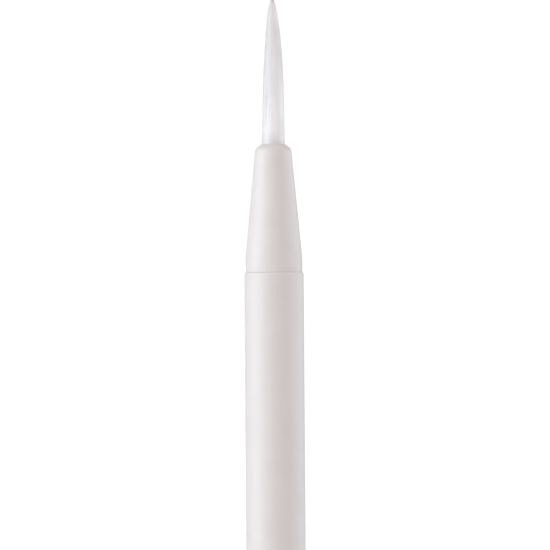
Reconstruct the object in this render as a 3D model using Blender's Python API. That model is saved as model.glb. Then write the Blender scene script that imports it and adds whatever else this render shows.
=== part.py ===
"""Acrylic nail brush: a white tube barrel, a conical nose that is its ferrule, and a pointed nylon tuft.

Run with: blender --background --python part.py

Frame: +Z runs from the tail's flat end to the tip of the tuft. The origin is the centre of that flat end.
The script's own unit is the millimetre, and mm() turns it into Blender's metres.

Pieces, from the tail up:
    tail_plug      moulded plug with crush ribs, closes the barrel's tail
    barrel         plain round tube
    nose           cone over the barrel's mouth, with a spigot inside the barrel and the tuft's bore
    retainer       split bush pressed in behind the tuft's root
    root_bead      cured epoxy over the cut ends of the filaments
    root_binding   thread wound round the root
    tuft_root      the bound part of the filaments, inside the nose
    tuft           the free part of the filaments, which bends at the nose's mouth
"""

import math

import bmesh
import bpy

# Driving dimensions, in millimetres.
SEAM_Z = 110.0  # where the barrel ends and the nose begins
NOSE_LENGTH = 16.1  # seam to mouth
TUFT_LENGTH = 18.65  # mouth to tip
BARREL_RADIUS = 3.75
BARREL_WALL = 0.8
TUFT_RADIUS = 1.435
FIT_GAP = 0.05  # left between pieces that are pressed or glued together
SEAM_GAP = 0.06  # the fine line between two outer pieces

# Heights that follow from them.
MOUTH_Z = SEAM_Z + NOSE_LENGTH
BARREL_BORE = BARREL_RADIUS - BARREL_WALL
SPIGOT_RADIUS = BARREL_BORE - FIT_GAP
MOUTH_BORE = TUFT_RADIUS + FIT_GAP

# Snap beads on the spigots, and the grooves that they drop into.
SNAP_HEIGHT = 0.13
SNAP_HALF_LENGTH = 0.5

# Tail plug.
PLUG_FLANGE = 1.6
PLUG_CORNER = 0.8  # radius of the rounded tail edge
PLUG_SPIGOT_TOP = 9.0
PLUG_CORE_RADIUS = SPIGOT_RADIUS - 0.2  # between its crush ribs
PLUG_BORE_RADIUS = 1.9
PLUG_BORE_FLOOR = 2.4
PLUG_RIBS = 6
PLUG_RIB_HALF_WIDTH = 0.25
PLUG_RIB_TAPER = 0.94  # the spigot narrows to this share at its end
GATE_RADIUS = 0.8  # the dimple where the plastic was let in
GATE_DEPTH = 0.25

# Barrel.
BARREL_TAIL_Z = PLUG_FLANGE + SEAM_GAP
BARREL_EDGE = (0.175, 0.45)  # how far the rounded edge at the seam reaches in and down
TAIL_EDGE = 0.15

# Nose.
LIP_WIDTH = 0.045  # flat ring round the tuft
BEVEL_ANGLE = 54  # of the mouth's bevel from the axis, in degrees
CONE_ANGLE = 5.38  # of the cone from the axis, in degrees
CONE_TOP_RADIUS = 2.318  # where the bevel's blend has become the cone
CONE_TOP_DROP = 0.85  # below the mouth
SHOULDER_BLEND = 0.62  # radius of the blend between the bevel and the cone
CONE_LENGTH = 12.7
LAND_RADIUS = 3.6  # straight band below the cone
LAND_EASE = 1.4  # the cone turns into it over this length
LAND_BOTTOM_Z = SEAM_Z + 0.64
SKIRT_RADIUS = 3.575  # a touch smaller, so that the seam has a soft edge
SKIRT_EDGE = 0.12
SPIGOT_LENGTH = 9.0
SPIGOT_LEAD = 0.5
SPIGOT_SNAP_Z = SEAM_Z - 6.0
ROOT_BORE = 2.15  # the wider bore that the root fills from behind
ROOT_SHOULDER_TOP = 121.0
ROOT_SHOULDER_BOTTOM = ROOT_SHOULDER_TOP - (ROOT_BORE - MOUTH_BORE)

# Root of the tuft, from the front back.
THREAD_RADIUS = 0.125
THREAD_PITCH = 0.28
THREAD_TURNS = 6
THREAD_TOP_Z = ROOT_SHOULDER_TOP - 0.3  # its first turn seats against the shoulder
BEAD_TOP_Z = 118.2
BEAD_BOTTOM_Z = 116.2
BEAD_POCKET_Z = 117.0
RETAINER_TOP_Z = BEAD_BOTTOM_Z - FIT_GAP
RETAINER_BOTTOM_Z = 106.0
RETAINER_WALL = 0.9
RETAINER_SNAP_Z = 112.0
RETAINER_SNAP_HEIGHT = 0.1
SLOT_WIDTH = 0.5
SLOT_LENGTH = 4.0

# Tuft.
PIVOT_ABOVE_MOUTH = 0.5  # the tuft bends about a point just above the nose's lip
PIVOT_Z = MOUTH_Z + PIVOT_ABOVE_MOUTH
CUP_RADIUS = TUFT_RADIUS + 0.065
CUP_RIM_ANGLE = -25  # below level, so that the rim stays clear of the free tuft as it bends
TUFT_POWER = 1.87  # shape of the ogive: near 2 is an ellipse
TUFT_RINGS = 16

# Meshes.
SIDES = 48
ARC_STEPS = 4
WELD = 1e-6  # metres
SHARP_ANGLE = math.radians(32)


def mm(value):
    return value * 0.001


def plastic(name, colour, roughness, transmission=0.0):
    """A Principled material of a plain colour."""
    material = bpy.data.materials.new(name)
    material.use_nodes = True
    shader = material.node_tree.nodes["Principled BSDF"]
    shader.inputs["Base Color"].default_value = (*colour, 1.0)
    shader.inputs["Roughness"].default_value = roughness
    shader.inputs["Metallic"].default_value = 0.0
    shader.inputs["Transmission Weight"].default_value = transmission
    material.diffuse_color = (*colour, 1.0)
    return material


def arc(centre, radius, start, end, steps=ARC_STEPS):
    """Points (radius, height) along an arc, or an ellipse if radius is a pair. 0 degrees is out, 90 is up."""
    across, up = radius if isinstance(radius, tuple) else (radius, radius)
    points = []
    for step in range(steps + 1):
        angle = math.radians(start + (end - start) * step / steps)
        points.append((centre[0] + across * math.cos(angle), centre[1] + up * math.sin(angle)))
    return points


def bump(base, height, middle, half_length, direction):
    """A smooth ring bead or groove, a raised cosine: its points run down (direction -1) or up (+1)."""
    points = []
    for step in range(2 * ARC_STEPS + 1):
        along = -1 + step / ARC_STEPS
        rise = height * (1 + math.cos(math.pi * along)) / 2
        points.append((base + rise, middle + direction * along * half_length))
    return points


def mesh_object(name, shape, material, parent):
    """Turns a bmesh in millimetres into an object in metres, smooth but for its sharp edges."""
    bmesh.ops.scale(shape, vec=(mm(1), mm(1), mm(1)), verts=shape.verts)
    bmesh.ops.remove_doubles(shape, verts=shape.verts, dist=WELD)
    bmesh.ops.recalc_face_normals(shape, faces=shape.faces)
    mesh = bpy.data.meshes.new(name)
    shape.to_mesh(mesh)
    shape.free()
    mesh.materials.append(material)
    mesh.shade_smooth()
    mesh.set_sharp_from_angle(angle=SHARP_ANGLE)
    made = bpy.data.objects.new(name, mesh)
    bpy.context.scene.collection.objects.link(made)
    made.parent = parent
    return made


def turned(name, profile, material, parent, pierced=True):
    """A solid turned about +Z from (radius, height) pairs, which form a loop if a bore pierces it."""
    shape = bmesh.new()
    points = [shape.verts.new((radius, 0, height)) for radius, height in profile]
    followed_by = points[1:] + points[:1] if pierced else points[1:]
    edges = [shape.edges.new(pair) for pair in zip(points, followed_by)]
    bmesh.ops.spin(
        shape,
        geom=points + edges,
        cent=(0, 0, 0),
        axis=(0, 0, 1),
        angle=math.tau,
        steps=SIDES,
        use_merge=True,
    )
    return mesh_object(name, shape, material, parent)


def stacked(name, outline, levels, material, parent):
    """A solid with one outline, (x, y) pairs, at each of several levels, (height, scale) pairs."""
    shape = bmesh.new()
    rings = [[shape.verts.new((x * scale, y * scale, z)) for x, y in outline] for z, scale in levels]
    shape.faces.new(reversed(rings[0]))
    shape.faces.new(rings[-1])
    for lower, upper in zip(rings, rings[1:]):
        for here in range(len(outline)):
            before = here - 1
            shape.faces.new((lower[before], lower[here], upper[here], upper[before]))
    return mesh_object(name, shape, material, parent)


def box_cutter(name, low, high, parent):
    """A box from one corner to the other, in millimetres, that only cuts."""
    shape = bmesh.new()
    bmesh.ops.create_cube(shape, size=1.0)
    bmesh.ops.scale(shape, vec=[b - a for a, b in zip(low, high)], verts=shape.verts)
    bmesh.ops.translate(shape, vec=[(a + b) / 2 for a, b in zip(low, high)], verts=shape.verts)
    return as_cutter(mesh_object(name, shape, bpy.data.materials["white_plastic"], parent))


def as_cutter(made):
    made.hide_render = True
    made.display_type = "WIRE"
    return made


def boolean(target, other, operation):
    step = target.modifiers.new(f"{operation.lower()}_{other.name}", "BOOLEAN")
    step.operation = operation
    step.object = other
    step.solver = "EXACT"


def make_barrel(material, parent):
    """The tube. Its bore has a groove for each spigot's snap bead."""
    front = SEAM_Z - SEAM_GAP / 2
    edge_centre = (BARREL_RADIUS - BARREL_EDGE[0], front - BARREL_EDGE[1])
    outside = arc(edge_centre, BARREL_EDGE, 90, 0)
    tail = arc((BARREL_RADIUS - TAIL_EDGE, BARREL_TAIL_Z + TAIL_EDGE), TAIL_EDGE, 0, -90, 2)
    groove = bump(BARREL_BORE, SNAP_HEIGHT, SPIGOT_SNAP_Z, SNAP_HALF_LENGTH, +1)
    inside = [(BARREL_BORE, BARREL_TAIL_Z), *groove, (BARREL_BORE, front)]
    turned("barrel", outside + tail + inside, material, parent)


def rib_outline(radius, core):
    """The plug's spigot from above: a round core with straight-sided ribs."""
    half = PLUG_RIB_HALF_WIDTH
    outer, inner = math.asin(half / radius), math.asin(half / core)
    pitch = math.tau / PLUG_RIBS
    core_steps = SIDES // PLUG_RIBS - 2
    points = []
    for rib in range(PLUG_RIBS):
        middle = rib * pitch
        for angle in (-outer, 0, outer):
            points.append((radius * math.cos(middle + angle), radius * math.sin(middle + angle)))
        for step in range(core_steps + 1):
            angle = middle + inner + (pitch - 2 * inner) * step / core_steps
            points.append((core * math.cos(angle), core * math.sin(angle)))
    return points


def make_tail_plug(material, parent):
    """Flange with a rounded edge and a gate dimple, ribbed spigot, and a bore up from inside the barrel."""
    corner = arc((BARREL_RADIUS - PLUG_CORNER, PLUG_CORNER), PLUG_CORNER, 0, -90, 6)
    top_edge = arc((BARREL_RADIUS - TAIL_EDGE, PLUG_FLANGE - TAIL_EDGE), TAIL_EDGE, 90, 0, 2)
    dimple = [(GATE_RADIUS, 0), (GATE_RADIUS - 0.1, GATE_DEPTH), (0, GATE_DEPTH)]
    profile = [(0, PLUG_FLANGE), *top_edge, *corner, *dimple]
    plug = turned("tail_plug", profile, material, parent, pierced=False)

    levels = ((PLUG_FLANGE / 2, 1.0), (PLUG_SPIGOT_TOP - 1.0, 1.0), (PLUG_SPIGOT_TOP, PLUG_RIB_TAPER))
    outline = rib_outline(SPIGOT_RADIUS, PLUG_CORE_RADIUS)
    ribs = as_cutter(stacked("plug_ribs", outline, levels, material, parent))

    above = PLUG_SPIGOT_TOP + 1.0
    wall = [(PLUG_BORE_RADIUS, above), (PLUG_BORE_RADIUS, PLUG_BORE_FLOOR)]
    bore = [(0, above), *wall, (0, PLUG_BORE_FLOOR)]
    hollow = as_cutter(turned("plug_bore", bore, material, parent, pierced=False))
    boolean(plug, ribs, "UNION")
    boolean(plug, hollow, "DIFFERENCE")


def make_nose(material, parent):
    """Cone, spigot and stepped bore, all one moulding."""
    seat = SEAM_Z + SEAM_GAP / 2
    lip = [(MOUTH_BORE, MOUTH_Z), (MOUTH_BORE + LIP_WIDTH, MOUTH_Z)]
    cone_angle = math.radians(CONE_ANGLE)
    cone_top_z = MOUTH_Z - CONE_TOP_DROP
    # The blend's arc leaves the bevel at the bevel's angle and meets the cone at the cone's.
    blend_centre = (
        CONE_TOP_RADIUS - SHOULDER_BLEND * math.cos(cone_angle),
        cone_top_z - SHOULDER_BLEND * math.sin(cone_angle),
    )
    shoulder = arc(blend_centre, SHOULDER_BLEND, BEVEL_ANGLE, CONE_ANGLE)
    foot_radius = CONE_TOP_RADIUS + CONE_LENGTH * math.tan(cone_angle)
    foot_z = cone_top_z - CONE_LENGTH
    land = [(foot_radius, foot_z)]
    for step in range(1, ARC_STEPS + 1):
        share = step / ARC_STEPS
        swell = (LAND_RADIUS - foot_radius) * math.sin(share * math.pi / 2)
        land.append((foot_radius + swell, foot_z - LAND_EASE * share))
    skirt = [(LAND_RADIUS, LAND_BOTTOM_Z), (SKIRT_RADIUS, seat + SKIRT_EDGE + 0.2)]
    skirt += arc((SKIRT_RADIUS - SKIRT_EDGE, seat + SKIRT_EDGE), SKIRT_EDGE, 0, -90, 3)
    snap = bump(SPIGOT_RADIUS, SNAP_HEIGHT, SPIGOT_SNAP_Z, SNAP_HALF_LENGTH, -1)
    end = SEAM_Z - SPIGOT_LENGTH
    spigot = [(SPIGOT_RADIUS, seat), *snap, (SPIGOT_RADIUS, end + SPIGOT_LEAD)]
    spigot += [(SPIGOT_RADIUS - SPIGOT_LEAD * 0.6, end), (ROOT_BORE + 0.2, end), (ROOT_BORE, end + 0.3)]
    groove = bump(ROOT_BORE, RETAINER_SNAP_HEIGHT, RETAINER_SNAP_Z, SNAP_HALF_LENGTH, +1)
    bore = [*groove, (ROOT_BORE, ROOT_SHOULDER_BOTTOM), (MOUTH_BORE, ROOT_SHOULDER_TOP)]
    turned("nose", lip + shoulder + land + skirt + spigot + bore, material, parent)


def make_retainer(material, parent):
    """Bush with a snap bead. Two crossed slots let its rear end spring."""
    outer = ROOT_BORE - FIT_GAP
    inner = outer - RETAINER_WALL
    snap = bump(outer, RETAINER_SNAP_HEIGHT, RETAINER_SNAP_Z, SNAP_HALF_LENGTH, -1)
    profile = [(inner, RETAINER_TOP_Z), (outer - 0.2, RETAINER_TOP_Z), (outer, RETAINER_TOP_Z - 0.3)]
    profile += [*snap, (outer, RETAINER_BOTTOM_Z), (inner, RETAINER_BOTTOM_Z)]
    bush = turned("retainer", profile, material, parent)
    reach, half, slot_top = outer + 1.0, SLOT_WIDTH / 2, RETAINER_BOTTOM_Z + SLOT_LENGTH
    below = RETAINER_BOTTOM_Z - 1.0
    for name, x, y in (("slot_across", reach, half), ("slot_along", half, reach)):
        cutter = box_cutter(name, (-x, -y, below), (x, y, slot_top), parent)
        boolean(bush, cutter, "DIFFERENCE")


def make_root_bead(material, parent):
    """Cured epoxy: a cup round the cut ends, with a meniscus that creeps up the bore."""
    outer = ROOT_BORE - FIT_GAP
    pocket = TUFT_RADIUS + FIT_GAP
    meniscus = arc((pocket + 0.31, BEAD_TOP_Z + 0.31), 0.31, 180, 360, 6)
    top = [(r, z) for r, z in meniscus if r <= outer - 0.01]
    profile = [(0, BEAD_POCKET_Z), (pocket, BEAD_POCKET_Z), *top, (outer, BEAD_TOP_Z + 0.3)]
    profile += [(outer, BEAD_BOTTOM_Z + 0.25), (outer - 0.25, BEAD_BOTTOM_Z), (0, BEAD_BOTTOM_Z)]
    turned("root_bead", profile, material, parent, pierced=False)


def make_root_binding(material, parent):
    """Thread wound round the root, as a helix with closed ends."""
    coil_radius = TUFT_RADIUS + 0.03 + THREAD_RADIUS
    steps = round(THREAD_TURNS * SIDES / 2)
    curve = bpy.data.curves.new("root_binding", "CURVE")
    curve.dimensions = "3D"
    curve.bevel_depth = mm(THREAD_RADIUS)
    curve.bevel_resolution = 1
    curve.use_fill_caps = True
    spline = curve.splines.new("POLY")
    spline.points.add(steps)
    for step, point in enumerate(spline.points):
        turn = THREAD_TURNS * step / steps
        angle = math.tau * turn
        height = THREAD_TOP_Z - THREAD_RADIUS - THREAD_PITCH * turn
        point.co = (
            mm(coil_radius * math.cos(angle)),
            mm(coil_radius * math.sin(angle)),
            mm(height),
            1.0,
        )
    curve.materials.append(material)
    thread = bpy.data.objects.new("root_binding", curve)
    bpy.context.scene.collection.objects.link(thread)
    thread.parent = parent


def make_tuft_root(material, parent):
    """The bound filaments. Their top is a cup round the pivot, so that the free tuft can turn in it."""
    foot = BEAD_POCKET_Z + FIT_GAP
    cup = arc((0, PIVOT_Z), CUP_RADIUS, -90, CUP_RIM_ANGLE, 6)
    edge = (TUFT_RADIUS, cup[-1][1] - 0.1)
    profile = [(0, cup[0][1]), *cup[1:], edge, (TUFT_RADIUS, foot), (0, foot)]
    turned("tuft_root", profile, material, parent, pierced=False)


def tuft_radius(share):
    """Radius of the free tuft at a share of its length above the mouth."""
    return TUFT_RADIUS * math.sqrt(max(0.0, 1 - share**TUFT_POWER))


def make_tuft(material, pivot):
    """The free filaments as one pointed ogive over a round foot. Its heights count from the pivot."""
    profile = [(0, TUFT_LENGTH - PIVOT_ABOVE_MOUTH)]
    for ring in range(1, TUFT_RINGS):
        # Rings lie closer together towards the tip, where the outline curves most.
        share = 1 - (ring / TUFT_RINGS) ** 1.7
        height = share * TUFT_LENGTH - PIVOT_ABOVE_MOUTH
        if height > 0:
            profile.append((tuft_radius(share), height))
    foot = arc((0, 0), TUFT_RADIUS, 0, -90, 6)
    profile += [*foot[:-1], (0, -TUFT_RADIUS)]
    turned("tuft", profile, material, pivot, pierced=False)


def empty(name, height, parent=None):
    made = bpy.data.objects.new(name, None)
    bpy.context.scene.collection.objects.link(made)
    made.location = (0, 0, mm(height))
    made.parent = parent
    return made


def build():
    for old in list(bpy.data.objects):
        bpy.data.objects.remove(old)
    white = plastic("white_plastic", (0.88, 0.86, 0.86), 0.42)
    inner_white = plastic("inner_plastic", (0.82, 0.82, 0.80), 0.5)
    nylon = plastic("nylon_filament", (0.90, 0.89, 0.91), 0.3, 0.2)
    epoxy = plastic("epoxy", (0.86, 0.80, 0.62), 0.2, 0.3)
    thread = plastic("binding_thread", (0.80, 0.80, 0.78), 0.6)

    body = empty("brush", 0)
    pivot = empty("tuft_pivot", PIVOT_Z, body)
    make_barrel(white, body)
    make_tail_plug(white, body)
    make_nose(white, body)
    make_retainer(inner_white, body)
    make_root_bead(epoxy, body)
    make_root_binding(thread, body)
    make_tuft_root(nylon, body)
    make_tuft(nylon, pivot)


build()
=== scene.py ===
"""The acrylic nail brush's looks: satin white plastic, and a tuft made one nylon filament at a time.

Lengths are in metres, in the part's own frame: +Z runs from the tail to the tip of the tuft.
"""

import math

import bpy
import numpy as np
from mathutils import Euler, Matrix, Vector


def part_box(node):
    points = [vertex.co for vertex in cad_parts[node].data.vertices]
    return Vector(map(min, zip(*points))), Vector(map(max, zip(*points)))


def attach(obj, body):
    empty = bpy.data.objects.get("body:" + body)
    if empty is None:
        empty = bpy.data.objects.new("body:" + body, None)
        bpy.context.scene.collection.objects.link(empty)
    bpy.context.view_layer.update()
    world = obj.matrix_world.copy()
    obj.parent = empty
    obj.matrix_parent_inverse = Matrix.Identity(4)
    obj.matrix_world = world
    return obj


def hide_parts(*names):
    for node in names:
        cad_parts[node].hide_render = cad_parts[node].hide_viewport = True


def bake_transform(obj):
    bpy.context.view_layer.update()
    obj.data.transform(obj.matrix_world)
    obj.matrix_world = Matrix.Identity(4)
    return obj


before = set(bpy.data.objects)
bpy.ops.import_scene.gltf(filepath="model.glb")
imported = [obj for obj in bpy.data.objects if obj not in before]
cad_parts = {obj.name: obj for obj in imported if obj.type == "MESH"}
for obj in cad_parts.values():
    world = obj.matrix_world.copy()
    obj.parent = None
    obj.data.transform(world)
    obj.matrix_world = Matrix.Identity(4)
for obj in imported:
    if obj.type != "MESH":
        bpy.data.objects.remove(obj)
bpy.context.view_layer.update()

MM = 0.001

# Heights and radii that the frame gives.
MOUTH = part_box("nose")[1][2]
SPIGOT_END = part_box("nose")[0][2]
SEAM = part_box("barrel")[1][2]
BARREL_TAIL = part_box("barrel")[0][2]
BARREL_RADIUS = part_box("barrel")[1][0]
LAND_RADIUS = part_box("nose")[1][0]
ROOT_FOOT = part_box("tuft_root")[0][2]
TUFT_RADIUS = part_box("tuft_root")[1][0]
PLUG_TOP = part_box("tail_plug")[1][2]

# Walls, bores and edges.
BARREL_BORE = BARREL_RADIUS - 0.8 * MM
SPIGOT_RADIUS = BARREL_BORE - 0.05 * MM
MOUTH_BORE = TUFT_RADIUS + 0.06 * MM
ROOT_BORE = 2.15 * MM
SEAM_GAP = 0.008 * MM
PLUG_BORE = 1.9 * MM
SIDES = 192

# The tuft.
TUFT_LENGTH = 18.5 * MM
TUFT_POWER = 1.87  # the envelope's radius is that of the bundle times sqrt(1 - share ** power)
BUNDLE_RADIUS = TUFT_RADIUS + 0.025 * MM
# The gathered body's radius as a share of the envelope's, by the share of the way to the tip.
# It begins with the meniscus that the size leaves against the lip.
BODY_SHARES = (
    (-0.003, 1.018),
    (0.0, 1.018),
    (0.005, 1.006),
    (0.012, 1.0),
    (0.04, 0.99),
    (0.15, 0.975),
    (0.5, 0.962),
)
BODY_FOOT = -7.5 * MM  # where the gathered body ends inside the nose, from the mouth
BODY_TIP = 0.985  # where it ends towards the tip, as a share of the tuft's length
FILAMENTS = 620
FILAMENT_RADIUS = 0.052 * MM
THICK = FILAMENT_RADIUS / BUNDLE_RADIUS
FILAMENT_SIDES = 6
FREE_RINGS = 20
GATHER = 0.85  # how closely a filament follows the envelope in: 1 ends every filament at the tip
RIDGE_WAVES = 14
RIDGE_HEIGHT = 0.006
GOLDEN_ANGLE = math.pi * (3 - math.sqrt(5))
BOW = 0.08 * MM  # how far the tuft bows sideways
BOW_MIDDLE = 0.52  # where it bows most, as a share of its length
# Painted light and shade on the tuft: how much of its colour it keeps, by the share of the way to the tip.
# The root keeps the most, a painted lightening against the shade the nose casts there, and the grey that
# grows towards the tip is painted shade.
TUFT_PAINTED_SHADE = ((0.0, 1.0), (0.025, 0.98), (0.06, 0.95), (0.12, 0.935), (0.4, 0.905), (0.7, 0.855), (1.0, 0.62))

# The nose, from its mouth down.
LIP = 0.03 * MM
BEVEL_ANGLE = 54
SHOULDER_BLEND = 0.62 * MM
CONE_ANGLE = 5.38
CONE_TOP_RADIUS = 2.318 * MM
CONE_TOP_DROP = 0.85 * MM
CONE_LENGTH = 12.7 * MM
LAND_EASE = 1.4 * MM
ROOT_SHOULDER = 121.0 * MM  # the height in the bore that the root's binding seats against

# The studio.
WHITE_SEEN = 1.05  # the room's white as the camera sees it
AMBIENT = 0.495  # and as a light
AMBIENT_COLOUR = (1.0, 0.843, 0.766)
CAMERA_DISTANCE = 0.6
FRAME_HEIGHT = 69.56 * MM
CAMERA_ROLL = -0.41  # degrees, for the brush's slight lean
# name, azimuth (0 is the camera's side, positive to its right), elevation, distance, size, watts, colour
LIGHTS = (
    ("key", -75, 5, 0.8, (0.66, 0.8), 4.2, (0.755, 0.925, 1.0)),
    ("front", -45, 5, 0.8, (0.66, 0.8), 2.1, (0.96, 0.96, 1.0)),
    ("rim", 97, 5, 0.8, (1.2, 0.8), 4.4, (0.768, 0.907, 1.0)),
    ("top", 25, 75, 0.8, (0.5, 0.5), 0.7, (0.95, 0.95, 1.0)),
)

# ---------------------------------------------------------------- materials


class Nodes:
    """A new material, with short calls that add and link its nodes."""

    def __init__(self, name, colour, roughness):
        self.material = bpy.data.materials.new(name)
        self.material.use_nodes = True
        self.tree = self.material.node_tree
        self.shader = self.tree.nodes["Principled BSDF"]
        self.set(colour=colour, roughness=roughness)
        self.place = self.tree.nodes.new("ShaderNodeTexCoord").outputs["Object"]
        self.height = None

    def set(self, colour=None, roughness=None, **values):
        if colour:
            self.shader.inputs["Base Color"].default_value = (*colour, 1.0)
        if roughness is not None:
            self.shader.inputs["Roughness"].default_value = roughness
        for name, value in values.items():
            self.shader.inputs[name.replace("_", " ").title()].default_value = value

    def link(self, source, node, socket):
        self.tree.links.new(source, node.inputs[socket])

    def noise(self, per_mm, detail=3.0, stretch=(1, 1, 1), distortion=0.0):
        """Noise with about this many features to the millimetre, from 0 to 1."""
        mapping = self.tree.nodes.new("ShaderNodeMapping")
        mapping.inputs["Scale"].default_value = [1000 * per_mm * s for s in stretch]
        self.link(self.place, mapping, "Vector")
        texture = self.tree.nodes.new("ShaderNodeTexNoise")
        texture.inputs["Scale"].default_value = 1.0
        texture.inputs["Detail"].default_value = detail
        texture.inputs["Distortion"].default_value = distortion
        self.link(mapping.outputs["Vector"], texture, "Vector")
        return texture.outputs["Fac"]

    def attribute(self, name, output="Fac"):
        reader = self.tree.nodes.new("ShaderNodeAttribute")
        reader.attribute_name = name
        return reader.outputs[output]

    def follow_bend(self):
        """Lays the noise that comes after this call over the piece as it is at rest, so it bends with it."""
        self.place = self.attribute("at_rest", "Vector")

    def spread(self, source, low, high, at=(0.3, 0.7)):
        """source from at[0] to at[1] becomes low to high."""
        node = self.tree.nodes.new("ShaderNodeMapRange")
        for socket, value in zip(("From Min", "From Max", "To Min", "To Max"), (*at, low, high)):
            node.inputs[socket].default_value = value
        self.link(source, node, "Value")
        return node.outputs["Result"]

    def total(self, first, second):
        """The two added together."""
        node = self.tree.nodes.new("ShaderNodeMath")
        for socket, value in enumerate((first, second)):
            self.link(value, node, socket)
        return node.outputs["Value"]

    def ramp(self, source, stops):
        """A colour for each position of source, from (position, colour) stops."""
        node = self.tree.nodes.new("ShaderNodeValToRGB")
        elements = node.color_ramp.elements
        while len(elements) < len(stops):
            elements.new(1.0)
        for element, (position, colour) in zip(elements, stops):
            element.position = position
            element.color = (*colour, 1.0)
        self.link(source, node, "Fac")
        return node.outputs["Color"]

    def mix(self, share, first, second, blend="MIX"):
        """first and second, each a colour or an output, mixed by share, a number or an output."""
        node = self.tree.nodes.new("ShaderNodeMix")
        node.data_type = "RGBA"
        node.blend_type = blend
        for socket, value in ((0, share), (6, first), (7, second)):
            if isinstance(value, bpy.types.NodeSocket):
                self.tree.links.new(value, node.inputs[socket])
            else:
                node.inputs[socket].default_value = value if socket == 0 else (*value, 1.0)
        return node.outputs[2]

    def bump(self, source, depth_um):
        """Adds relief of this depth, in micrometres, over what is there."""
        node = self.tree.nodes.new("ShaderNodeBump")
        node.inputs["Strength"].default_value = 1.0
        node.inputs["Distance"].default_value = depth_um * 1e-6
        self.link(source, node, "Height")
        if self.height:
            self.link(self.height, node, "Normal")
        self.height = node.outputs["Normal"]
        self.link(self.height, self.shader, "Normal")


def satin_plastic(name, colour):
    """Moulded white plastic: a faint cloud in the colour, a fine satin grain, and the odd rub mark."""
    m = Nodes(name, colour, 0.4)
    deeper = [c * 0.975 for c in colour]
    cloud = m.spread(m.noise(0.35, detail=2.0), 0.0, 1.0)
    m.link(m.mix(cloud, colour, deeper), m.shader, "Base Color")
    grain = m.noise(14.0, detail=4.0)
    rubs = m.noise(1.6, detail=5.0, stretch=(1, 1, 0.12), distortion=0.6)
    m.link(m.spread(rubs, 0.35, 0.45), m.shader, "Roughness")
    m.bump(m.noise(0.8, detail=1.0), 3.0)
    m.bump(grain, 0.9)
    m.set(subsurface_weight=0.15, subsurface_scale=0.6 * MM)
    m.shader.inputs["Subsurface Radius"].default_value = (1.0, 0.9, 0.85)
    m.shader.inputs["IOR"].default_value = 1.49
    return m.material


def paint_shade_towards_tip(m, colour):
    """The tuft's colour with painted shade: less and less of it from the root to the fine tip, lightest at
    the root, where the nose shades it.
    """
    painted_shade_stops = [(along, (grey, grey, grey * 1.005)) for along, grey in TUFT_PAINTED_SHADE]
    # Painted light and shade: the root keeps its full colour, and it greys towards the tip.
    return m.mix(1.0, colour, m.ramp(m.attribute("along"), painted_shade_stops), "MULTIPLY")


def nylon():
    """Fine nylon filament, mostly clear: each has its own shade of white, and painted shade makes it greyer
    towards its thin end.
    """
    m = Nodes("nylon", (0.975, 0.97, 0.985), 0.3)
    m.follow_bend()
    own = m.ramp(
        m.attribute("shade"),
        ((0.0, (0.93, 0.915, 0.945)), (0.5, (0.975, 0.965, 0.985)), (1.0, (0.995, 0.985, 1.0))),
    )
    # Painted shade: the colour greys from the root towards the tip, lightest at the root.
    m.link(paint_shade_towards_tip(m, own), m.shader, "Base Color")
    # Each filament turns from glossy to matt at a height of its own.
    wetted = m.total(m.attribute("along"), m.spread(m.attribute("shade"), -0.1, 0.3, at=(0, 1)))
    m.link(m.spread(wetted, 0.15, 0.34, at=(0.12, 0.4)), m.shader, "Roughness")
    m.bump(m.noise(25.0, detail=2.0, stretch=(1, 1, 0.08)), 0.8)
    m.set(transmission_weight=0.92)
    m.shader.inputs["Specular IOR Level"].default_value = 0.25
    m.shader.inputs["IOR"].default_value = 1.53
    return m.material


def gathered_nylon():
    """Filaments held together by size, a gum: they glow through, with fine lengthwise streaks."""
    m = Nodes("gathered_nylon", (0.95, 0.94, 0.965), 0.35)
    m.follow_bend()
    streak = m.spread(m.noise(5.0, detail=4.0, stretch=(1, 1, 0.02)), 0.0, 1.0)
    streaky = m.mix(streak, (0.92, 0.898, 0.945), (0.99, 0.968, 1.0))
    # Painted shade: the streaky colour greys from the root towards the tip, lightest at the root.
    m.link(paint_shade_towards_tip(m, streaky), m.shader, "Base Color")
    wetted = m.total(m.attribute("along"), m.spread(streak, -0.1, 0.3, at=(0, 1)))
    m.link(m.spread(wetted, 0.13, 0.38, at=(0.12, 0.4)), m.shader, "Roughness")
    m.bump(m.noise(9.0, detail=2.0, stretch=(1, 1, 0.02)), 10.0)
    m.set(subsurface_scale=6 * MM)
    m.link(m.spread(m.attribute("along"), 0.5, 1.0, at=(0.0, 0.06)), m.shader, "Subsurface Weight")
    m.shader.inputs["Subsurface Radius"].default_value = (1.0, 1.0, 1.0)
    m.shader.inputs["IOR"].default_value = 1.5
    return m.material


def epoxy():
    """Cured amber epoxy with fine bubbles."""
    m = Nodes("cured_epoxy", (0.86, 0.78, 0.56), 0.18)
    cloud = m.spread(m.noise(1.2), 0.0, 1.0)
    m.link(m.mix(cloud, (0.88, 0.82, 0.64), (0.80, 0.68, 0.42)), m.shader, "Base Color")
    m.bump(m.noise(7.0, detail=2.0), 12.0)
    m.set(subsurface_weight=0.4, subsurface_scale=0.5 * MM)
    return m.material


def thread():
    """Waxed thread: twisted plies and a little fuzz."""
    m = Nodes("waxed_thread", (0.80, 0.80, 0.78), 0.6)
    plies = m.noise(16.0, detail=2.0, stretch=(1, 1, 2.4), distortion=0.4)
    m.link(m.mix(m.spread(plies, 0.0, 1.0), (0.70, 0.69, 0.66), (0.86, 0.86, 0.84)), m.shader, "Base Color")
    m.bump(plies, 25.0)
    m.set(sheen_weight=0.3)
    return m.material


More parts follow.
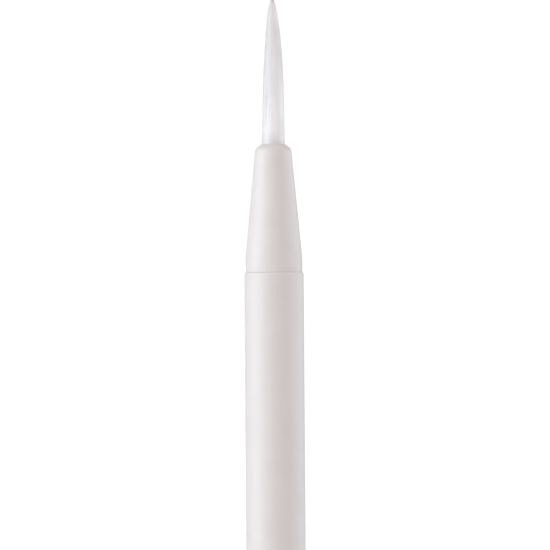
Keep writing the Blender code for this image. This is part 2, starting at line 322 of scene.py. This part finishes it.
def pale_floor():
    """A matt floor that, to the eye alone, melts into the white of the room well away from the brush."""
    m = Nodes("pale_floor", (0.86, 0.86, 0.86), 0.7)
    m.bump(m.noise(1.5, detail=4.0), 8.0)
    far = m.tree.nodes.new("ShaderNodeVectorMath")
    far.operation = "LENGTH"
    m.link(m.place, far, 0)
    fade = m.tree.nodes.new("ShaderNodeMath")
    fade.operation = "MULTIPLY"
    m.link(m.spread(far.outputs["Value"], 0.0, 1.0, at=(0.08, 0.4)), fade, 0)
    m.link(m.tree.nodes.new("ShaderNodeLightPath").outputs["Is Camera Ray"], fade, 1)
    shown = m.tree.nodes.new("ShaderNodeMixShader")
    m.link(fade.outputs[0], shown, 0)
    m.link(m.shader.outputs[0], shown, 1)
    m.link(m.tree.nodes.new("ShaderNodeBsdfTransparent").outputs[0], shown, 2)
    m.link(shown.outputs[0], m.tree.nodes["Material Output"], "Surface")
    return m.material


# ---------------------------------------------------------------- meshes


def store(made, name, values):
    """A number or a place for each point of a piece, for its material to read."""
    values = np.asarray(values, np.float32)
    kind, field = ("FLOAT", "value") if values.ndim == 1 else ("FLOAT_VECTOR", "vector")
    made.data.attributes.new(name, kind, "POINT").data.foreach_set(field, values.ravel())


def arc(centre, radius, start, end, steps=10):
    """Points (radius, height) round an arc or, with a pair of radii, a stretch of an ellipse, in degrees."""
    across, up = radius if isinstance(radius, tuple) else (radius, radius)
    angles = np.radians(np.linspace(start, end, steps + 1))
    return [(centre[0] + across * math.cos(a), centre[1] + up * math.sin(a)) for a in angles]


def new_mesh(name, points, faces, material):
    mesh = bpy.data.meshes.new(name)
    mesh.from_pydata(points, [], faces)
    mesh.materials.append(material)
    mesh.shade_smooth()
    made = bpy.data.objects.new(name, mesh)
    bpy.context.scene.collection.objects.link(made)
    return made


def turned(name, profile, material, shape=None):
    """A solid turned about +Z from (radius, height) pairs: a closed loop, or a run from pole to pole.

    shape, where it is given, takes a radius, a height and the angles round, and gives each angle's radius.
    """
    angles = np.linspace(0, math.tau, SIDES, endpoint=False)
    rings, points = [], []
    for radius, height in profile:
        around = shape(radius, height, angles) if shape else np.full(SIDES, radius)
        first = len(points)
        if radius == 0:
            points.append((0.0, 0.0, height))
            rings.append([first] * SIDES)
        else:
            points.extend((r * math.cos(a), r * math.sin(a), height) for r, a in zip(around, angles))
            rings.append(list(range(first, first + SIDES)))
    pairs = list(zip(rings, rings[1:]))
    if profile[0][0] > 0:
        pairs.append((rings[-1], rings[0]))
    faces = []
    for here, there in pairs:
        for side in range(SIDES):
            corners = (here[side - 1], there[side - 1], there[side], here[side])
            faces.append(tuple(dict.fromkeys(corners)))
    made = new_mesh(name, points, faces, material)
    made.data.set_sharp_from_angle(angle=math.radians(34))
    return made


def make_barrel(material):
    edge, wall = (0.175 * MM, 0.45 * MM), 0.12 * MM
    front = SEAM - 0.02 * MM
    outside = arc((BARREL_RADIUS - edge[0], front - edge[1]), edge, 90, 0)
    tail = arc((BARREL_RADIUS - wall, BARREL_TAIL + wall), wall, 0, -90, 6)
    inside = [(BARREL_BORE, BARREL_TAIL), (BARREL_BORE, front)]
    made = turned("barrel_shell", outside + tail + inside, material)
    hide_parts("barrel")
    return made


def make_tail_plug(material):
    """Flange with a rounded edge and a gate dimple, and a hollow spigot with crush ribs in the barrel."""
    flange = BARREL_TAIL - 0.03 * MM
    corner, edge, rib, ribs, half_rib = 0.8 * MM, 0.12 * MM, 0.2 * MM, 6, 0.25 * MM
    bore_end = 2.4 * MM
    core = SPIGOT_RADIUS - rib
    dimple = [(0, 0.22 * MM), (0.62 * MM, 0.22 * MM), *arc((0.7 * MM, 0.08 * MM), 0.08 * MM, 180, 270, 4)]
    outside = arc((BARREL_RADIUS - corner, corner), corner, -90, 0, 12)
    outside += arc((BARREL_RADIUS - edge, flange - edge), edge, 0, 90, 4)
    spigot = [(core, flange), (core, PLUG_TOP - 1.0 * MM), (core * 0.94, PLUG_TOP)]
    bore = [(PLUG_BORE, PLUG_TOP), (PLUG_BORE, bore_end), (0, bore_end)]

    def ribbed(radius, height, angles):
        off_rib = np.abs((angles * ribs / math.tau + 0.5) % 1 - 0.5) * math.tau / ribs
        on_spigot = PLUG_BORE < radius <= core and height >= flange
        return radius + rib * on_spigot * (off_rib < half_rib / core)

    made = turned("tail_plug_shell", dimple + outside + spigot + bore, material, shape=ribbed)
    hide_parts("tail_plug")
    return made


def make_nose(material):
    """Cone with a bevelled mouth, a short land at its base and a hidden spigot."""
    inner_edge = MOUTH_BORE + 0.02 * MM
    lip = [(MOUTH_BORE, MOUTH - 0.02 * MM)]
    lip += arc((inner_edge, MOUTH - LIP), LIP, 120, BEVEL_ANGLE, 5)
    cone_top = (CONE_TOP_RADIUS, MOUTH - CONE_TOP_DROP)
    tilt = math.radians(CONE_ANGLE)
    centre = (cone_top[0] - SHOULDER_BLEND * math.cos(tilt), cone_top[1] - SHOULDER_BLEND * math.sin(tilt))
    shoulder = arc(centre, SHOULDER_BLEND, BEVEL_ANGLE, CONE_ANGLE, 16)
    cone_foot = (cone_top[0] + CONE_LENGTH * math.tan(tilt), cone_top[1] - CONE_LENGTH)
    steps = 8
    ease = []
    for k in range(1, steps + 1):
        out = (LAND_RADIUS - cone_foot[0]) * math.sin(math.pi / 2 * k / steps)
        ease.append((cone_foot[0] + out, cone_foot[1] - LAND_EASE * k / steps))
    base = SEAM - 0.02 * MM + SEAM_GAP
    skirt = [(LAND_RADIUS, base + 0.66 * MM), (LAND_RADIUS - 0.02 * MM, base + 0.45 * MM)]
    skirt += arc((LAND_RADIUS - 0.05 * MM, base + 0.04 * MM), (0.025 * MM, 0.04 * MM), 0, -90, 4)
    spigot = [(SPIGOT_RADIUS, base), (SPIGOT_RADIUS, SPIGOT_END + 0.5 * MM)]
    spigot.append((SPIGOT_RADIUS - 0.3 * MM, SPIGOT_END))
    bore = [(ROOT_BORE, SPIGOT_END), (ROOT_BORE, ROOT_SHOULDER - ROOT_BORE + MOUTH_BORE)]
    bore.append((MOUTH_BORE, ROOT_SHOULDER))
    made = turned("nose_shell", lip + shoulder + [cone_foot] + ease + skirt + spigot + bore, material)
    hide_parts("nose")
    return made


def envelope(share):
    """The tuft's radius at a share of its free length, as a share of the bundle's radius."""
    return np.sqrt(np.maximum(1 - np.clip(share, 0, 1) ** TUFT_POWER, 0))


class Ridges:
    """Soft lengthwise ridges that the gathered filaments form round the tuft."""

    def __init__(self, random):
        self.waves = random.integers(5, 34, RIDGE_WAVES)
        self.phase = random.uniform(0, math.tau, RIDGE_WAVES)
        self.wander = random.uniform(-2.5, 2.5, RIDGE_WAVES)
        self.height = RIDGE_HEIGHT * random.uniform(0.4, 1.0, RIDGE_WAVES) / np.sqrt(self.waves / 8)

    def at(self, angle, share):
        angle, share = np.broadcast_arrays(np.asarray(angle, float), np.asarray(share, float))
        swing = self.waves * angle[..., None] + self.phase + self.wander * share[..., None]
        return (self.height * np.cos(swing)).sum(axis=-1)


def sideways(share):
    """The tuft's slight natural bow: nothing at the mouth, most near the middle."""
    return BOW * (1 - (share / BOW_MIDDLE - 1) ** 2)


def skin(points, sides):
    """Faces that join rings of this many points, and close the first and the last."""
    faces = [tuple(reversed(range(sides))), tuple(range(len(points) - sides, len(points)))]
    for start in range(0, len(points) - sides, sides):
        for side in range(sides):
            after = (side + 1) % sides
            faces.append((start + side, start + after, start + sides + after, start + sides + side))
    return faces


def tube(centres, radii, heights, sides):
    """Points and faces of a closed tube of level rings."""
    angles = np.linspace(0, math.tau, sides, endpoint=False)
    ring = np.column_stack([np.cos(angles), np.sin(angles)])
    across = centres[:, None] + radii[:, None, None] * ring
    up = np.repeat(heights, sides).reshape(-1, sides, 1)
    points = np.concatenate([across, up], axis=2).reshape(-1, 3)
    return points, skin(points, sides)


def make_tuft_body(material, ridges):
    """The gathered middle of the tuft: filaments that the size holds in one ridged body."""
    sides, rings = 220, 90
    angles = np.linspace(0, math.tau, sides, endpoint=False)
    share = 1 - (1 - np.arange(rings + 1) / rings) ** 1.7
    in_nose = [BODY_FOOT / TUFT_LENGTH, -0.02, -0.003]
    meniscus = [0, 0.0025, 0.005, 0.008, 0.012]
    share = np.concatenate([in_nose, meniscus, share[1:] * BODY_TIP])
    # The size draws back between the filaments sooner at some angles than at others.
    draw = np.random.default_rng(7).uniform(-0.5, 0.5, sides)
    draw = sum(np.roll(draw, k) for k in (-2, -1, 0, 1, 2)) / math.sqrt(5)
    points = []
    for t in share:
        free = max(t, 0)
        fill = np.interp(t * (1 + draw), *np.array(BODY_SHARES).T)
        radius = BUNDLE_RADIUS * fill * envelope(t) * (1 + ridges.at(angles, free) * min(1, free * 12))
        x = radius * np.cos(angles) + sideways(free)
        points.append(np.column_stack([x, radius * np.sin(angles), np.full(sides, MOUTH + t * TUFT_LENGTH)]))
    points = np.concatenate(points)
    made = new_mesh("tuft_body", points.tolist(), skin(points, sides), material)
    store(made, "at_rest", points)
    store(made, "along", np.repeat(np.clip(share, 0, 1), sides))
    return made


def make_filaments(material, ridges):
    """Each filament as a tapered tube, from the root bead through the mouth to its own end."""
    random = np.random.default_rng(11)
    order = np.arange(FILAMENTS) + 0.5
    turn = order * GOLDEN_ANGLE
    out = np.sqrt(order / FILAMENTS)
    start = np.column_stack([out * np.cos(turn), out * np.sin(turn)])
    start += random.normal(0, 0.014, start.shape)
    out = np.hypot(*start.T)
    start *= (np.minimum(out, 1) / out)[:, None]
    out = np.minimum(out, 1)
    turn = np.arctan2(start[:, 1], start[:, 0])

    # A filament ends where it would pass out through the envelope.
    end_share = (1 - np.minimum(out, 0.999) ** (2 / (1 - GATHER))) ** (1 / TUFT_POWER)
    end_share *= 1 - np.minimum(random.exponential(0.01, FILAMENTS), 0.06)
    stray = np.where(random.random(FILAMENTS) < 0.02, random.uniform(0.02, 0.07, FILAMENTS), 0)
    shade = np.clip(random.normal(0.5, 0.22, FILAMENTS), 0, 1)
    points, faces, shades, alongs = [], [], [], []
    for i in range(FILAMENTS):
        end = end_share[i] * TUFT_LENGTH
        free = end * (np.arange(FREE_RINGS + 1) / FREE_RINGS) ** random.uniform(0.8, 1.1)
        heights = np.concatenate([[ROOT_FOOT - MOUTH, -1.0 * MM], free])
        share = np.clip(heights / TUFT_LENGTH, 0, 1)
        squeeze = np.maximum(envelope(share), 0.01) ** GATHER
        lift = 1 + ridges.at(turn[i], share) * np.minimum(1, share * 12) + stray[i] * share**3
        wave, pitch = random.uniform(0, math.tau, 2), random.uniform(0.6, 1.8, 2)
        weave = 0.005 * np.minimum(share * 4, 1)[:, None] * np.sin(wave + math.tau * pitch * share[:, None])
        centres = BUNDLE_RADIUS * (squeeze * lift)[:, None] * (start[i] * (1 - THICK) + weave)
        centres[:, 0] += sideways(share)
        to_end = np.clip((end - heights) / (1.2 * MM), 0, 1)
        radii = FILAMENT_RADIUS * np.maximum(squeeze, 0.4) * (0.25 + 0.75 * to_end**0.5)
        new_points, new_faces = tube(centres, radii, MOUTH + heights, FILAMENT_SIDES)
        first = len(points)
        points.extend(new_points.tolist())
        faces.extend(tuple(first + corner for corner in face) for face in new_faces)
        shades.append(np.full(len(new_points), shade[i]))
        alongs.append(np.repeat(share, FILAMENT_SIDES))
    made = new_mesh("tuft_filaments", points, faces, material)
    store(made, "at_rest", points)
    store(made, "shade", np.concatenate(shades))
    store(made, "along", np.concatenate(alongs))
    return made


# ---------------------------------------------------------------- stage


def studio():
    """A pale floor and soft boxes in a white room, dimmer as a light than it looks to the camera."""
    world = bpy.data.worlds.new("white_room")
    world.use_nodes = True
    tree = world.node_tree
    ambient = tree.nodes["Background"]
    ambient.inputs["Color"].default_value = (*AMBIENT_COLOUR, 1.0)
    ambient.inputs["Strength"].default_value = AMBIENT
    seen = tree.nodes.new("ShaderNodeBackground")
    seen.inputs["Color"].default_value = (1, 1, 1, 1)
    seen.inputs["Strength"].default_value = WHITE_SEEN
    path = tree.nodes.new("ShaderNodeLightPath")
    # Seen straight or through a filament.
    looked_at = tree.nodes.new("ShaderNodeMath")
    looked_at.operation = "MAXIMUM"
    tree.links.new(path.outputs["Is Camera Ray"], looked_at.inputs[0])
    tree.links.new(path.outputs["Is Transmission Ray"], looked_at.inputs[1])
    either = tree.nodes.new("ShaderNodeMixShader")
    tree.links.new(looked_at.outputs[0], either.inputs[0])
    tree.links.new(ambient.outputs[0], either.inputs[1])
    tree.links.new(seen.outputs[0], either.inputs[2])
    tree.links.new(either.outputs[0], tree.nodes["World Output"].inputs["Surface"])
    bpy.context.scene.world = world

    radius, sides, below = 1.2, 128, 0.2 * MM
    turns = [math.tau * k / sides for k in range(sides)]
    rim = [(radius * math.cos(turn), radius * math.sin(turn), -below) for turn in turns]
    floor = new_mesh("floor", rim, [tuple(range(sides))], pale_floor())

    for name, azimuth, elevation, distance, size, power, colour in LIGHTS:
        light = bpy.data.lights.new(name, "AREA")
        light.shape = "RECTANGLE"
        light.size, light.size_y = size
        light.energy = power
        light.color = colour
        lamp = bpy.data.objects.new(name, light)
        bpy.context.scene.collection.objects.link(lamp)
        around, up = math.radians(azimuth), math.radians(elevation)
        away = Vector((math.sin(around) * math.cos(up), -math.cos(around) * math.cos(up), math.sin(up)))
        lamp.location = Vector((0, 0, 0.11)) + away * distance
        lamp.rotation_euler = away.to_track_quat("Z", "Y").to_euler()
        lamp.visible_camera = False


def place_camera():
    """Level and far off, as with a long lens."""
    camera = bpy.data.cameras.new("camera")
    camera.sensor_width = 36.0
    camera.lens = camera.sensor_width * CAMERA_DISTANCE / FRAME_HEIGHT
    camera.clip_start = 0.01
    seat = bpy.data.objects.new("camera", camera)
    bpy.context.scene.collection.objects.link(seat)
    seat.location = (0.12 * MM, -CAMERA_DISTANCE, 109.58 * MM)
    level = Euler((math.pi / 2, 0, 0)).to_matrix()
    roll = Euler((0, 0, math.radians(CAMERA_ROLL))).to_matrix()
    seat.rotation_euler = (level @ roll).to_euler()
    bpy.context.scene.camera = seat


# ---------------------------------------------------------------- the brush

white = satin_plastic("white_plastic", (0.80, 0.775, 0.775))
for piece in (make_barrel(white), make_nose(white), make_tail_plug(white)):
    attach(piece, "handle")

ridges = Ridges(np.random.default_rng(4))
tuft_body = make_tuft_body(gathered_nylon(), ridges)
filaments = make_filaments(nylon(), ridges)
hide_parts("tuft", "tuft_root")
for piece in (tuft_body, filaments):
    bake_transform(piece)

inner = satin_plastic("inner_plastic", (0.76, 0.755, 0.73))
for node, material in (
    ("retainer", inner),
    ("root_bead", epoxy()),
    ("root_binding", thread()),
):
    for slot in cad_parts[node].material_slots:
        slot.material = material

studio()
place_camera()
bpy.context.scene.view_settings.view_transform = "Standard"
